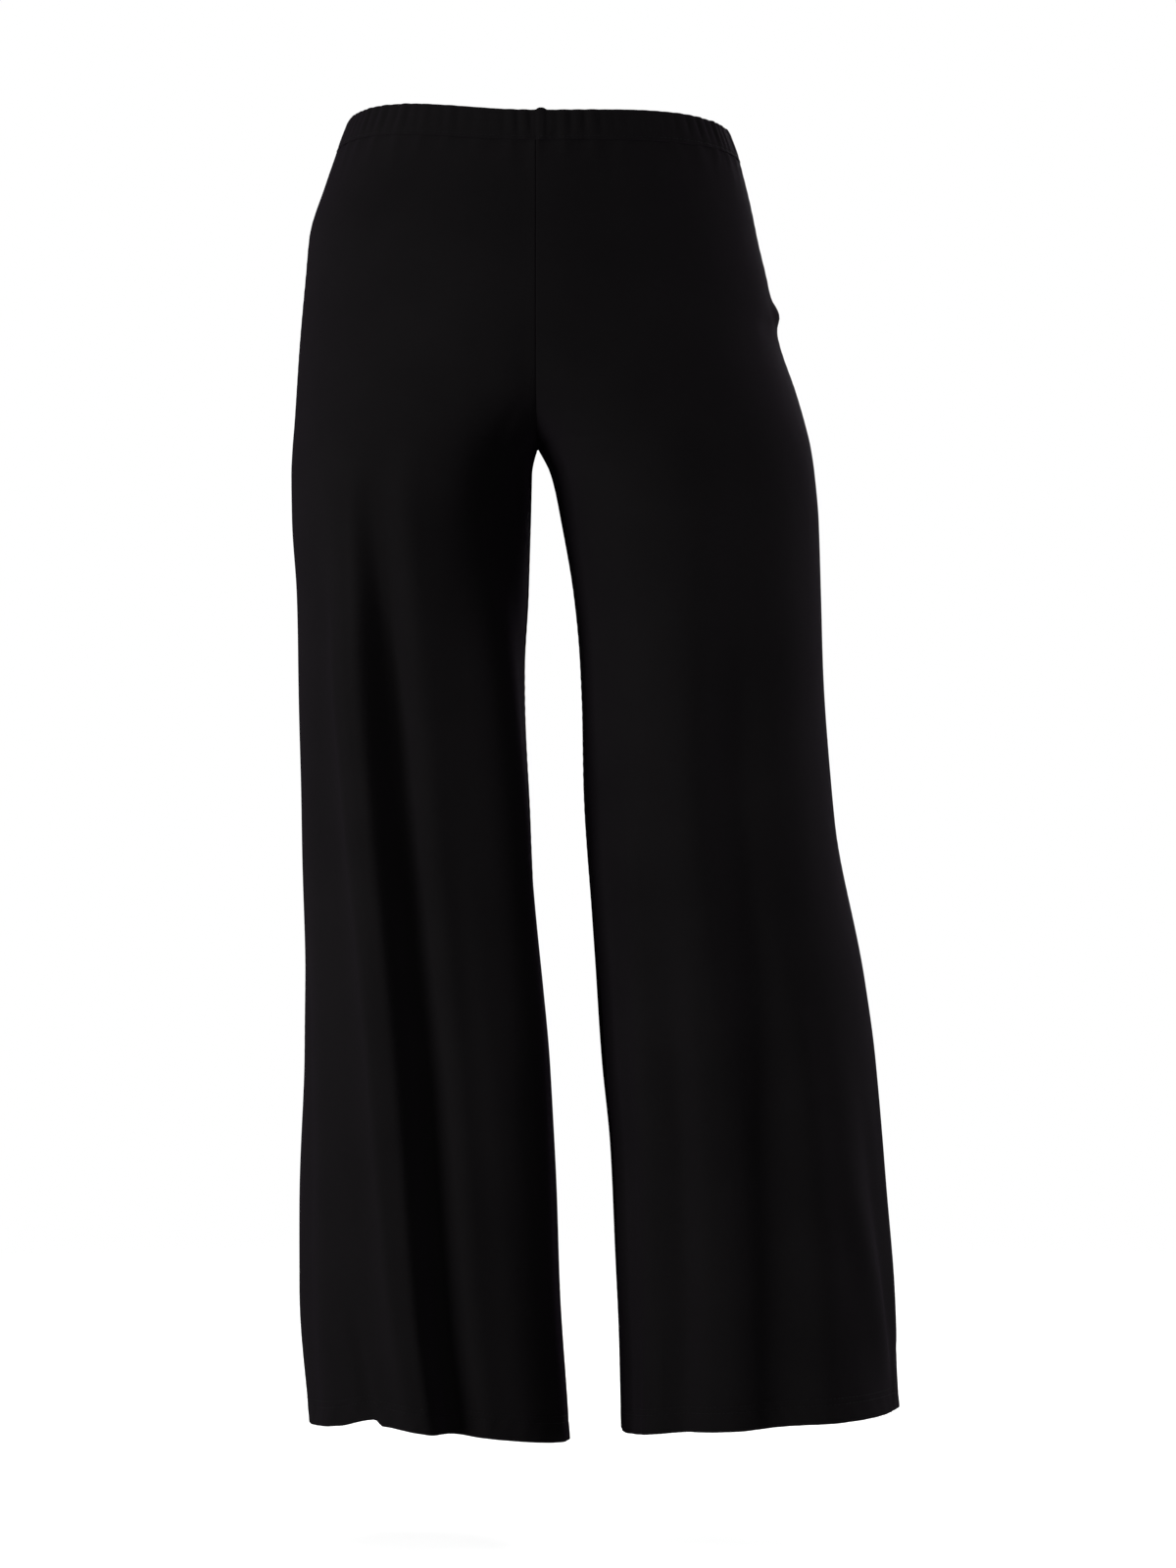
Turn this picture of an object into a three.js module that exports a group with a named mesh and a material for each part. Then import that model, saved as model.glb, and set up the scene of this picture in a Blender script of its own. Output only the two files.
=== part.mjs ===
// Palazzo pants in black jersey, with the hollow shape they keep on a wearer who stands on the left leg.
// Five pieces: a pull-on elastic waistband, and a back and a front panel for each leg.
// Millimetres, +Z up. The wearer faces -Y, so their left leg is at +X. The origin is the middle of the waist.
import * as THREE from "three";

// Driving sizes. A drop is a distance down from the waist.
const BAND_HEIGHT = 24;
const CROTCH_DROP = 250;
const HEM_DROP = 1050;
const CLOTH = 2; // a panel's wall
const BAND_WALL = 3; // two layers of jersey round an elastic
const SEAM_GAP = 0.3;
const HEM_TURN = 22; // the hem is turned up inside by this much
const HEM_WALL = 3;
const HEM_STEP = 2; // the wall thickens over this length at the top of the turned hem

// The garment's level sections. Each leg is an oval from its inner to its outer edge, which are counted from the
// middle plane outwards, so a leg that leans over the middle has a negative inner edge. Above the crotch the ovals
// run into each other: there the cleft says how far they have parted, from 0, one oval, to 1, two that only touch.
const SECTIONS = [
  { drop: 0, back: 105, front: 103, leftOuter: 154.5, rightOuter: 157, cleft: 0 },
  { drop: 24, back: 109, front: 107, leftOuter: 164.2, rightOuter: 165.9, cleft: 0 },
  { drop: 50, back: 116, front: 111, leftOuter: 174.5, rightOuter: 172.7, cleft: 0 },
  { drop: 85, back: 124, front: 114, leftOuter: 186.8, rightOuter: 180, cleft: 0 },
  { drop: 115, back: 130, front: 116, leftOuter: 189.6, rightOuter: 187.8, cleft: 0.02 },
  { drop: 165, back: 134, front: 117, leftOuter: 194, rightOuter: 198, cleft: 0.12 },
  { drop: 205, back: 133, front: 117, leftOuter: 197, rightOuter: 211.5, cleft: 0.42 },
  { drop: 232, back: 131, front: 117, leftOuter: 199, rightOuter: 219.5, cleft: 0.8 },
  { drop: 250, back: 129, front: 117, leftOuter: 200.5, rightOuter: 224, cleft: 1, leftInner: 0, rightInner: 0 },
  { drop: 272, back: 128, front: 117, leftOuter: 201.5, rightOuter: 227.5, leftInner: 5.4, rightInner: 11.5 },
  { drop: 310, back: 126, front: 117, leftOuter: 201, rightOuter: 231, leftInner: 6, rightInner: 20 },
  { drop: 370, back: 124, front: 118, leftOuter: 197.5, rightOuter: 232.5, leftInner: 7.8, rightInner: 29.7 },
  { drop: 430, back: 121, front: 118, leftOuter: 196, rightOuter: 234.7, leftInner: 10.8, rightInner: 35 },
  { drop: 560, back: 117, front: 118, leftOuter: 193.6, rightOuter: 244.5, leftInner: 6, rightInner: 39.8 },
  { drop: 690, back: 114, front: 119, leftOuter: 191.2, rightOuter: 268, leftInner: -3, rightInner: 48 },
  { drop: 750, back: 113, front: 120, leftOuter: 191.2, rightOuter: 276.5, leftInner: -7.6, rightInner: 52.7 },
  { drop: 820, back: 113, front: 122, leftOuter: 192, rightOuter: 282, leftInner: -11, rightInner: 59.4 },
  { drop: 945, back: 114, front: 125, leftOuter: 193.5, rightOuter: 292.5, leftInner: -15.8, rightInner: 65.6 },
  { drop: 1050, back: 116, front: 128, leftOuter: 187, rightOuter: 296.7, leftInner: -22, rightInner: 69 },
];

// Towards its back and front, an oval lags behind in parting from the middle plane, so that no crease runs round the
// leg level with the crotch.
const LAG = 0.122; // at most this share of the outer edge
const LAG_DROP = 238; // the drop where it is greatest
const LAG_LENGTH = 44; // how far above and below that it has sunk to about a third
const INSEAM_SHARPNESS = 4; // the higher this is, the closer to the inseam the lag begins

// The drape: long soft ridges, and troughs, whose height is negative. Each runs straight on the unrolled leg, from
// one angle and drop to another. Angles go round the leg from the inseam: 90 is the back, 180 the side seam and
// 270 the front. Width is how far from its line a fold has sunk to about a third. Its height grows over the share
// rise of its length, and dies away over the share fall of it.
const FOLDS = {
  left: [
    { from: 111, top: 240, to: 83, bottom: HEM_DROP, width: 17, height: -17, rise: 0.6, fall: 0 },
    { from: 130, top: 290, to: 100, bottom: HEM_DROP, width: 21, height: 13, rise: 0.6, fall: 0 },
    { from: 95, top: 225, to: 91, bottom: 520, width: 17, height: 5, rise: 0.4, fall: 0.5 },
    { from: 50, top: 205, to: 34, bottom: 450, width: 34, height: -7, rise: 0.5, fall: 0.5 },
    { from: 20, top: 470, to: 16, bottom: HEM_DROP, width: 12, height: 4, rise: 0.6, fall: 0 },
    { from: 356, top: 520, to: 358, bottom: HEM_DROP, width: 9, height: -5, rise: 0.6, fall: 0.2 },
    { from: 244, top: 300, to: 262, bottom: HEM_DROP, width: 20, height: 11, rise: 0.6, fall: 0 },
    { from: 226, top: 280, to: 241, bottom: HEM_DROP, width: 18, height: -12, rise: 0.6, fall: 0 },
    { from: 300, top: 420, to: 292, bottom: HEM_DROP, width: 18, height: 8, rise: 0.5, fall: 0 },
    { from: 284, top: 380, to: 277, bottom: HEM_DROP, width: 15, height: -9, rise: 0.5, fall: 0 },
    { from: 188, top: 620, to: 194, bottom: HEM_DROP, width: 16, height: 5, rise: 0.6, fall: 0 },
  ],
  right: [
    { from: 114, top: 150, to: 97, bottom: HEM_DROP, width: 36, height: -9, rise: 0.4, fall: 0 },
    { from: 70, top: 250, to: 60, bottom: 720, width: 30, height: 4, rise: 0.3, fall: 0.5 },
    { from: 54, top: 480, to: 40, bottom: HEM_DROP, width: 13, height: 6, rise: 0.5, fall: 0 },
    { from: 66, top: 600, to: 56, bottom: HEM_DROP, width: 12, height: -6, rise: 0.5, fall: 0 },
    { from: 120, top: 800, to: 143, bottom: 1045, width: 13, height: 7, rise: 0.5, fall: 0.3 },
    { from: 134, top: 740, to: 153, bottom: 1040, width: 12, height: -7, rise: 0.5, fall: 0.3 },
    { from: 5, top: 520, to: 6, bottom: 1000, width: 10, height: -4, rise: 0.4, fall: 0.4 },
    { from: 268, top: 270, to: 254, bottom: HEM_DROP, width: 19, height: -12, rise: 0.6, fall: 0 },
    { from: 284, top: 320, to: 273, bottom: HEM_DROP, width: 19, height: 10, rise: 0.6, fall: 0 },
    { from: 302, top: 420, to: 300, bottom: HEM_DROP, width: 15, height: -7, rise: 0.5, fall: 0 },
    { from: 240, top: 300, to: 229, bottom: HEM_DROP, width: 20, height: 9, rise: 0.6, fall: 0 },
    { from: 212, top: 560, to: 206, bottom: HEM_DROP, width: 16, height: -7, rise: 0.6, fall: 0 },
    { from: 168, top: 138, to: 196, bottom: 147, width: 9, height: 5, rise: 0.4, fall: 0.4 },
  ],
};

// How the waist and the hems lie off the level: how far they stand up at the middle of the back and of the front, and
// at each side. A swell lifts them most at one angle, and has sunk to about a third this many degrees away.
const WAIST_BACK = 12.6;
const WAIST_FRONT = -14;
const WAIST_TILT_END = 170; // the drop at which the waist's tilt is gone
const WAIST_SIDES = {
  left: { side: 17, swell: 6.5 },
  right: { side: 8, swell: 3.6 },
};
const HEMS = {
  left: { middle: -4, outerRise: 6, backRise: 9, frontRise: 3, swell: 6, at: 118, width: 26 },
  right: { middle: 4.8, outerRise: 10.2, backRise: 4.2, frontRise: 2, swell: 3, at: 55, width: 25 },
};

// The grid that each panel's wall is made from. Its middle columns lean by these degrees on the way down, as the
// panel's folds do.
const GRID_LEAN = { back_left: -28, front_left: 6, back_right: -14, front_right: -10 };
const PANEL_COLUMNS = { back_left: 36, front_left: 18, back_right: 26, front_right: 18 };
const CROWDING = { from: 1.2, most: 6 }; // how closely the columns that the crotch seam pushes aside keep to it
const ROW_DROPS = [
  40, 60, 85, 110, 138, 148, 165, 188, 210, 226, 237, 244, 248, 250, 260, 280, 315, 360, 415, 475, 540, 605, 670, 735,
  800, 865, 925, 975,
];

// The waistband's gathers. Their spacing and depth are uneven, by slow waves round the waist.
const GATHERS = 88;
const POINTS_PER_GATHER = 4;
const GATHER_DEPTH = 1.6;
const GATHER_SHIFTS = [
  { size: 0.9, waves: 5, start: 57 },
  { size: 0.7, waves: 11, start: 0 },
];
const GATHER_SHARES = [
  { size: 0.6, waves: 0, start: 90 },
  { size: 0.25, waves: 7, start: 115 },
  { size: 0.15, waves: 17, start: 0 },
];

// The bump at the middle of the back, where the waistband's ends are joined.
const JOIN_HALF_WIDTH = 7;
const JOIN_RISE = 1.5;
const JOIN_PROUD = 0.8;
const BAND_PROUD = 0.7; // the waistband stands this far out of the panels
const BAND_LEVELS = [
  { drop: 0, inset: 1.1 },
  { drop: 3, inset: 0 },
  { drop: BAND_HEIGHT, inset: 0.5 },
];

const FULLNESS = 0.035; // how far the ovals are squared towards their diagonals
const FOLD_RADIUS = 110; // turns an angle round a leg into a length on the unrolled leg
const SEAM_STILL = 34; // near the middle seam the cloth is held, so folds die away over this distance
const CUT_STEPS = 40; // halvings in the search for the middle plane
const SIDE = { left: 1, right: -1 };
const JERSEY = { color: 0x0b0a0c, roughness: 0.82, metalness: 0 };

const clamp01 = (t) => Math.min(1, Math.max(0, t));
const easeStep = (t) => clamp01(t) ** 2 * (3 - 2 * clamp01(t));
const degrees = (a) => (a * Math.PI) / 180;
const bell = (t) => Math.exp(-(t ** 2));
const legShare = (drop) => clamp01((drop - CROTCH_DROP) / (HEM_DROP - CROTCH_DROP));

// A smooth value between the rows of SECTIONS that have the column, with no overshoot between two rows.
function section(column, drop) {
  const rows = SECTIONS.filter((row) => column in row);
  const last = rows.length - 1;
  let i = rows.findIndex((row) => row.drop > drop) - 1;
  if (i < 0) i = drop < rows[0].drop ? 0 : last - 1;
  const slope = (k) => (rows[k + 1][column] - rows[k][column]) / (rows[k + 1].drop - rows[k].drop);
  const tangent = (k) => {
    if (k === 0) return slope(0);
    if (k === last) return slope(last - 1);
    const [before, after] = [slope(k - 1), slope(k)];
    return before * after <= 0 ? 0 : (2 * before * after) / (before + after);
  };
  const gap = rows[i + 1].drop - rows[i].drop;
  const t = (drop - rows[i].drop) / gap;
  const [start, end] = [rows[i][column], rows[i + 1][column]];
  return (
    start * (2 * t ** 3 - 3 * t ** 2 + 1) +
    tangent(i) * gap * (t ** 3 - 2 * t ** 2 + t) +
    end * (3 * t ** 2 - 2 * t ** 3) +
    tangent(i + 1) * gap * (t ** 3 - t ** 2)
  );
}

const squared = (angle) => 1 + FULLNESS * Math.sin(2 * angle) ** 2;

// The inner and outer edge of a leg's oval, as they are for one angle.
function edges(leg, angle, drop) {
  const outer = section(leg + "Outer", drop);
  const above = drop < CROTCH_DROP;
  const cleft = above ? section("cleft", drop) : 1;
  const inner = above ? (-outer * (1 - cleft)) / (1 + cleft) : section(leg + "Inner", drop);
  const away = 1 - ((1 + Math.cos(angle)) / 2) ** INSEAM_SHARPNESS;
  return { outer, inner: inner - outer * LAG * away * bell((drop - LAG_DROP) / LAG_LENGTH) };
}

// How far from the middle plane the oval is, before any fold.
function across(leg, angle, drop) {
  const { outer, inner } = edges(leg, angle, drop);
  return (outer + inner) / 2 - ((outer - inner) / 2) * Math.cos(angle) * squared(angle);
}

// The angle at which the middle plane cuts the ovals off: a quarter turn at the waist, none from the crotch down.
// It is the same for both legs, because above the crotch their ovals are alike but for a scale.
function cutAngle(drop) {
  if (drop >= CROTCH_DROP) return 0;
  let [low, high] = [0, Math.PI / 2];
  for (let i = 0; i < CUT_STEPS; i++) {
    const middle = (low + high) / 2;
    if (across("left", middle, drop) < 0) low = middle;
    else high = middle;
  }
  return high;
}

// How far the folds lift the cloth at a place on the unrolled leg.
function drape(leg, angle, drop) {
  let lift = 0;
  for (const fold of FOLDS[leg]) {
    for (const turn of [-2 * Math.PI, 0, 2 * Math.PI]) {
      const start = new THREE.Vector2(degrees(fold.from) * FOLD_RADIUS, fold.top);
      const line = new THREE.Vector2(degrees(fold.to) * FOLD_RADIUS, fold.bottom).sub(start);
      const point = new THREE.Vector2((angle + turn) * FOLD_RADIUS, drop).sub(start);
      const share = point.dot(line) / line.lengthSq();
      const aside = point.cross(line) / line.length();
      const grown = easeStep(share / fold.rise) * (fold.fall ? easeStep((1 - share) / fold.fall) : 1);
      lift += fold.height * grown * bell(aside / fold.width);
    }
  }
  return lift;
}

// How far a point stands above its drop: the waist's tilt, and the slant of the hems.
function rise(leg, angle, drop) {
  const [sine, cosine] = [Math.sin(angle), Math.cos(angle)];
  const waist = WAIST_SIDES[leg];
  const waistMiddle = sine > 0 ? WAIST_BACK : WAIST_FRONT;
  const tilt = waist.side + (waistMiddle - waist.side) * sine ** 2 + waist.swell * Math.sin(2 * angle) ** 2;
  const hem = HEMS[leg];
  const hemMiddle = hem.middle + (sine > 0 ? hem.backRise : hem.frontRise) * sine ** 2;
  const slant = hemMiddle - hem.outerRise * cosine + hem.swell * bell((angle - degrees(hem.at)) / degrees(hem.width));
  return tilt * (1 - easeStep(drop / WAIST_TILT_END)) + slant * legShare(drop) ** 2;
}

// A point of the garment's outer surface.
function surface(leg, angle, drop) {
  const { outer, inner } = edges(leg, angle, drop);
  const depth = section(Math.sin(angle) > 0 ? "back" : "front", drop);
  const x = across(leg, angle, drop);
  const y = depth * Math.sin(angle) * squared(angle);
  const outward = new THREE.Vector2(-Math.cos(angle) * depth, (Math.sin(angle) * (outer - inner)) / 2).normalize();
  const free = easeStep((x + Math.max(0, drop - CROTCH_DROP)) / SEAM_STILL);
  const lift = drape(leg, angle, drop) * free;
  return new THREE.Vector3(
    SIDE[leg] * (x + outward.x * lift),
    y + outward.y * lift,
    rise(leg, angle, drop) - drop,
  );
}

// The direction straight out of the cloth.
function outwards(leg, angle, drop) {
  const [turn, step] = [0.01, 1.5];
  const around = surface(leg, angle + turn, drop).sub(surface(leg, angle - turn, drop));
  const down = surface(leg, angle, drop + step).sub(surface(leg, angle, drop - step));
  return around.cross(down).multiplyScalar(SIDE[leg]).normalize();
}

// A closed wall from rows of { outer, inner } points. A ring's rows close on themselves.
function wall(rows, ring, flip) {
  const columns = rows[0].length;
  const points = rows.flatMap((row) => row.flatMap(({ outer, inner }) => [outer, inner]));
  const at = (r, c, side) => 2 * (r * columns + (c % columns)) + side;
  const faces = [];
  const quad = (a, b, c, d) => faces.push(a, b, c, a, c, d);
  const bottom = rows.length - 1;
  const across = ring ? columns : columns - 1;
  for (let c = 0; c < across; c++) {
    for (let r = 0; r < bottom; r++) {
      quad(at(r, c, 0), at(r + 1, c, 0), at(r + 1, c + 1, 0), at(r, c + 1, 0));
      quad(at(r, c, 1), at(r, c + 1, 1), at(r + 1, c + 1, 1), at(r + 1, c, 1));
    }
    quad(at(0, c, 0), at(0, c + 1, 0), at(0, c + 1, 1), at(0, c, 1));
    quad(at(bottom, c, 0), at(bottom, c, 1), at(bottom, c + 1, 1), at(bottom, c + 1, 0));
  }
  for (let r = 0; r < bottom && !ring; r++) {
    quad(at(r, 0, 0), at(r, 0, 1), at(r + 1, 0, 1), at(r + 1, 0, 0));
    quad(at(r, across, 0), at(r + 1, across, 0), at(r + 1, across, 1), at(r, across, 1));
  }
  if (flip) faces.reverse();
  const geometry = new THREE.BufferGeometry().setFromPoints(points).setIndex(faces);
  geometry.computeVertexNormals();
  return geometry;
}

// One panel: from the middle seam and the inseam round to the side seam, and from the waistband to the hem.
function panel(leg, face) {
  const name = `${face}_${leg}`;
  const columns = PANEL_COLUMNS[name];
  const drops = [
    { drop: BAND_HEIGHT + SEAM_GAP, thick: CLOTH },
    ...ROW_DROPS.map((drop) => ({ drop, thick: CLOTH })),
    { drop: HEM_DROP - HEM_TURN - HEM_STEP, thick: CLOTH },
    { drop: HEM_DROP - HEM_TURN, thick: HEM_WALL },
    { drop: HEM_DROP, thick: HEM_WALL },
  ];
  const rows = drops.map(({ drop, thick }) => {
    const seam = SEAM_GAP / 2 / section(face, drop);
    const inseam = Math.max(cutAngle(drop), seam);
    const crowding = Math.min(CROWDING.most, Math.max(1, CROWDING.from / inseam));
    const lean = degrees(GRID_LEAN[name]) * legShare(drop);
    return Array.from({ length: columns + 1 }, (_, c) => {
      const share = c / columns;
      const turn = inseam * (1 - share) ** crowding + (Math.PI - seam) * share;
      const angle = (face === "back" ? turn : 2 * Math.PI - turn) + lean * Math.sin(Math.PI * share);
      const outer = surface(leg, angle, drop);
      outer.x += (SIDE[leg] * SEAM_GAP) / 2;
      return { outer, inner: outer.clone().addScaledVector(outwards(leg, angle, drop), -thick) };
    });
  });
  return wall(rows, false, (leg === "left") === (face === "back"));
}

// The waistband: a ring of folded jersey, drawn into small uneven gathers by its elastic.
function waistband() {
  const columns = GATHERS * POINTS_PER_GATHER;
  const sum = (list, turn) => list.reduce((t, w) => t + w.size * Math.sin(w.waves * turn + degrees(w.start)), 0);
  const rows = BAND_LEVELS.map(({ drop, inset }) =>
    Array.from({ length: columns }, (_, c) => {
      const turn = (2 * Math.PI * c) / columns; // from the middle of the back, round by the left side
      const leg = turn < Math.PI ? "left" : "right";
      const angle = turn < Math.PI ? Math.PI / 2 + turn : 2.5 * Math.PI - turn;
      const outer = surface(leg, angle, drop);
      const join = outer.y > 0 ? bell((outer.x / JOIN_HALF_WIDTH) ** 2) : 0;
      const wave = sum(GATHER_SHARES, turn) * Math.cos(GATHERS * turn + sum(GATHER_SHIFTS, turn));
      const gather = (GATHER_DEPTH / 2) * wave * (1 - join);
      const out = outwards(leg, angle, drop);
      outer.addScaledVector(out, BAND_PROUD + gather + JOIN_PROUD * join - inset);
      const inner = outer.clone().addScaledVector(out, inset - BAND_WALL);
      if (drop === 0) [outer, inner].forEach((point) => (point.z += JOIN_RISE * join));
      return { outer, inner };
    }),
  );
  return wall(rows, true, true);
}

const jersey = () => new THREE.MeshStandardMaterial(JERSEY);
const pants = new THREE.Group();
function add(name, geometry) {
  const mesh = new THREE.Mesh(geometry, jersey());
  mesh.name = name;
  pants.add(mesh);
}

add("waistband", waistband());
for (const leg of ["left", "right"]) {
  for (const face of ["back", "front"]) add(`${face}_${leg}`, panel(leg, face));
}

export default pants;
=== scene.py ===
import bmesh
import bpy
import numpy as np
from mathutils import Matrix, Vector


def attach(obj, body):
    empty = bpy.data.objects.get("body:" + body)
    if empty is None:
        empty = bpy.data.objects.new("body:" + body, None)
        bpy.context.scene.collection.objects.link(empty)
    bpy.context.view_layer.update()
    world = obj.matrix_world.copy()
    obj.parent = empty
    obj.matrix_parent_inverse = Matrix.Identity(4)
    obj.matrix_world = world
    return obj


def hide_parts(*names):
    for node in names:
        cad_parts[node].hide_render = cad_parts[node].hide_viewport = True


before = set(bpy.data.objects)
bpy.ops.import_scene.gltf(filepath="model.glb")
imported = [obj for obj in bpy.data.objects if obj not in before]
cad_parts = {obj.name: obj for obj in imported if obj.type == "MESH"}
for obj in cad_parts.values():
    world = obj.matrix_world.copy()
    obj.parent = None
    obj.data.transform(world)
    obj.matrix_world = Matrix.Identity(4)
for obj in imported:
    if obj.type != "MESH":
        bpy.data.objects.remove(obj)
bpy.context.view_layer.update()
MM = 0.001
TINY = 1e-12  # no vector is divided by less than this

# Driving sizes. A drop is a distance down from the waist.
BAND_HEIGHT = 24
CROTCH_DROP = 250
HEM_DROP = 1050
JERSEY_THICK = 0.75
BAND_THICK = 3.1  # two layers of jersey round an elastic
HEM_TURN = 22  # the hem is turned up inside by this much
HEM_THICK = 1.9

# The garment's level sections, as its solids have them. Each leg is an oval from its inner to its outer
# edge, counted from the middle plane outwards. Above the crotch the cleft says how far the two have parted.
SECTION_COLUMNS = ("drop", "back", "front", "left_outer", "right_outer", "cleft", "left_inner", "right_inner")
SECTIONS = (
    (0, 105, 103, 154.5, 157, 0, None, None),
    (24, 109, 107, 164.2, 165.9, 0, None, None),
    (50, 116, 111, 174.5, 172.7, 0, None, None),
    (85, 124, 114, 186.8, 180, 0, None, None),
    (115, 130, 116, 189.6, 187.8, 0.02, None, None),
    (165, 134, 117, 194, 198, 0.12, None, None),
    (205, 133, 117, 197, 211.5, 0.42, None, None),
    (232, 131, 117, 199, 219.5, 0.8, None, None),
    (250, 129, 117, 200.5, 224, 1, 0, 0),
    (272, 128, 117, 201.5, 227.5, None, 5.4, 11.5),
    (310, 126, 117, 201, 231, None, 6, 20),
    (370, 124, 118, 197.5, 232.5, None, 7.8, 29.7),
    (430, 121, 118, 196, 234.7, None, 10.8, 35),
    (560, 117, 118, 193.6, 244.5, None, 6, 39.8),
    (690, 114, 119, 191.2, 268, None, -3, 48),
    (750, 113, 120, 191.2, 276.5, None, -7.6, 52.7),
    (820, 113, 122, 192, 282, None, -11, 59.4),
    (945, 114, 125, 193.5, 292.5, None, -15.8, 65.6),
    (1050, 116, 128, 187, 296.7, None, -22, 69),
)

# Towards its back and front, an oval lags behind in parting from the middle plane.
LAG = 0.122
LAG_DROP = 238
LAG_LENGTH = 44
INSEAM_SHARPNESS = 4
FULLNESS = 0.035  # how far the ovals are squared towards their diagonals

# The drape: long soft ridges, and troughs, whose height is negative, each straight on the unrolled leg. Some
# lie a little differently from the solids' own, closer to the photograph. Angles go round the leg from the
# inseam: 90 is the back, 180 the side seam and 270 the front. Width is how far from its line a fold has sunk
# to about a third. A fold grows over the share rise of its length, and dies away over the share fall.
FOLD_COLUMNS = ("start", "top", "end", "bottom", "width", "height", "rise", "fall")
FOLDS = {
    "left": (
        (103, 225, 77, HEM_DROP, 17, -18, 0.27, 0),
        (124, 250, 95, HEM_DROP, 21, 13, 0.3, 0),
        (36, 300, 29, HEM_DROP, 25, 10, 0.35, 0),
        (50, 260, 43, HEM_DROP, 25, 11, 0.3, 0),
        (95, 225, 91, 520, 17, 5, 0.4, 0.5),
        (50, 205, 34, 450, 34, -7, 0.5, 0.5),
        (20, 470, 16, HEM_DROP, 12, 4, 0.6, 0),
        (356, 520, 358, HEM_DROP, 9, -5, 0.6, 0.2),
        (244, 300, 262, HEM_DROP, 20, 11, 0.6, 0),
        (226, 280, 241, HEM_DROP, 18, -12, 0.6, 0),
        (300, 420, 292, HEM_DROP, 18, 8, 0.5, 0),
        (284, 380, 277, HEM_DROP, 15, -9, 0.5, 0),
        (188, 620, 194, HEM_DROP, 16, 5, 0.6, 0),
    ),
    "right": (
        (114, 150, 97, HEM_DROP, 32, -12, 0.4, 0),
        (84, 280, 74, HEM_DROP, 22, 5, 0.4, 0),
        (70, 250, 60, 720, 30, 4, 0.3, 0.5),
        (54, 480, 40, HEM_DROP, 13, 6, 0.5, 0),
        (66, 600, 56, HEM_DROP, 12, -6, 0.5, 0),
        (128, 800, 151, 1045, 13, 4, 0.5, 0.3),
        (142, 740, 161, 1040, 12, -4, 0.5, 0.3),
        (5, 520, 6, 1000, 10, -4, 0.4, 0.4),
        (268, 270, 254, HEM_DROP, 19, -12, 0.6, 0),
        (284, 320, 273, HEM_DROP, 19, 10, 0.6, 0),
        (302, 420, 300, HEM_DROP, 15, -7, 0.5, 0),
        (240, 300, 229, HEM_DROP, 20, 9, 0.6, 0),
        (212, 560, 206, HEM_DROP, 16, -7, 0.6, 0),
        (168, 138, 196, 147, 9, 5, 0.4, 0.4),
    ),
}

# Finer creases that only the cloth has, with the same columns: drag lines at the crotch, the small folds
# between the long ones, a pinch at the hip, and the wave of the hems.
CREASES = {
    "left": (
        (128, 330, 100, HEM_DROP, 5, 1.7, 0.2, 0.2),
        (117, 250, 90, HEM_DROP, 6, 3.4, 0.2, 0),
        (110, 250, 83, HEM_DROP, 7, -3.4, 0.2, 0),
        (60, 196, 28, 268, 6, 1.6, 0.4, 0.4),
        (68, 206, 40, 286, 7, -1.4, 0.4, 0.4),
        (38, 236, 20, 330, 8, -1.6, 0.4, 0.5),
        (98, 600, 85, HEM_DROP, 8, 0.9, 0.5, 0),
        (74, 420, 60, HEM_DROP, 11, -0.9, 0.4, 0),
        (64, 520, 50, HEM_DROP, 9, 0.9, 0.4, 0),
        (48, 640, 38, HEM_DROP, 9, -0.8, 0.4, 0),
        (150, 420, 139, HEM_DROP, 14, 1.6, 0.4, 0),
        (162, 520, 152, HEM_DROP, 12, -1.8, 0.4, 0),
        (172, 700, 166, HEM_DROP, 9, 0.6, 0.4, 0),
        (124, 930, 117, HEM_DROP, 7, -1.8, 0.6, 0),
        (214, 480, 222, HEM_DROP, 12, 1.6, 0.4, 0),
        (206, 640, 210, HEM_DROP, 10, -1.4, 0.4, 0),
        (316, 520, 314, HEM_DROP, 12, -1.8, 0.4, 0),
        (330, 600, 331, HEM_DROP, 11, 1.6, 0.4, 0),
        (300, 190, 332, 262, 7, 1.4, 0.4, 0.4),
        (292, 204, 322, 284, 8, -1.4, 0.4, 0.4),
        (250, 60, 262, 190, 16, -1.2, 0.4, 0.5),
    ),
    "right": (
        (64, 150, 38, 262, 6, -1.6, 0.4, 0.4),
        (56, 160, 30, 268, 6, 1.4, 0.4, 0.4),
        (40, 226, 24, 330, 8, -1.5, 0.4, 0.5),
        (80, 560, 72, HEM_DROP, 11, -1.4, 0.4, 0),
        (88, 640, 84, HEM_DROP, 10, 1.5, 0.4, 0),
        (112, 500, 118, HEM_DROP, 13, 1.6, 0.4, 0),
        (124, 640, 130, 1010, 10, -1.3, 0.4, 0.3),
        (28, 560, 24, HEM_DROP, 9, -1.6, 0.4, 0),
        (48, 940, 46, HEM_DROP, 5, 1.2, 0.6, 0),
        (36, 960, 34, HEM_DROP, 5, -1.1, 0.6, 0),
        (164, 700, 168, HEM_DROP, 9, 1.6, 0.4, 0),
        (172, 985, 165, 1046, 5, -2.6, 0.5, 0.15),
        (163, 990, 158, 1048, 5, 1.8, 0.5, 0.15),
        (222, 480, 218, HEM_DROP, 12, 1.5, 0.4, 0),
        (192, 640, 190, HEM_DROP, 11, 1.5, 0.4, 0),
        (318, 480, 319, HEM_DROP, 12, 1.8, 0.4, 0),
        (334, 560, 335, HEM_DROP, 11, -1.7, 0.4, 0),
        (300, 186, 328, 262, 7, -1.5, 0.4, 0.4),
        (292, 176, 318, 250, 7, 1.3, 0.4, 0.4),
        (168, 146, 150, 166, 8, -1.6, 0.4, 0.5),
    ),
}
FOLD_RADIUS = 110  # turns an angle round a leg into a length on the unrolled leg
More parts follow.
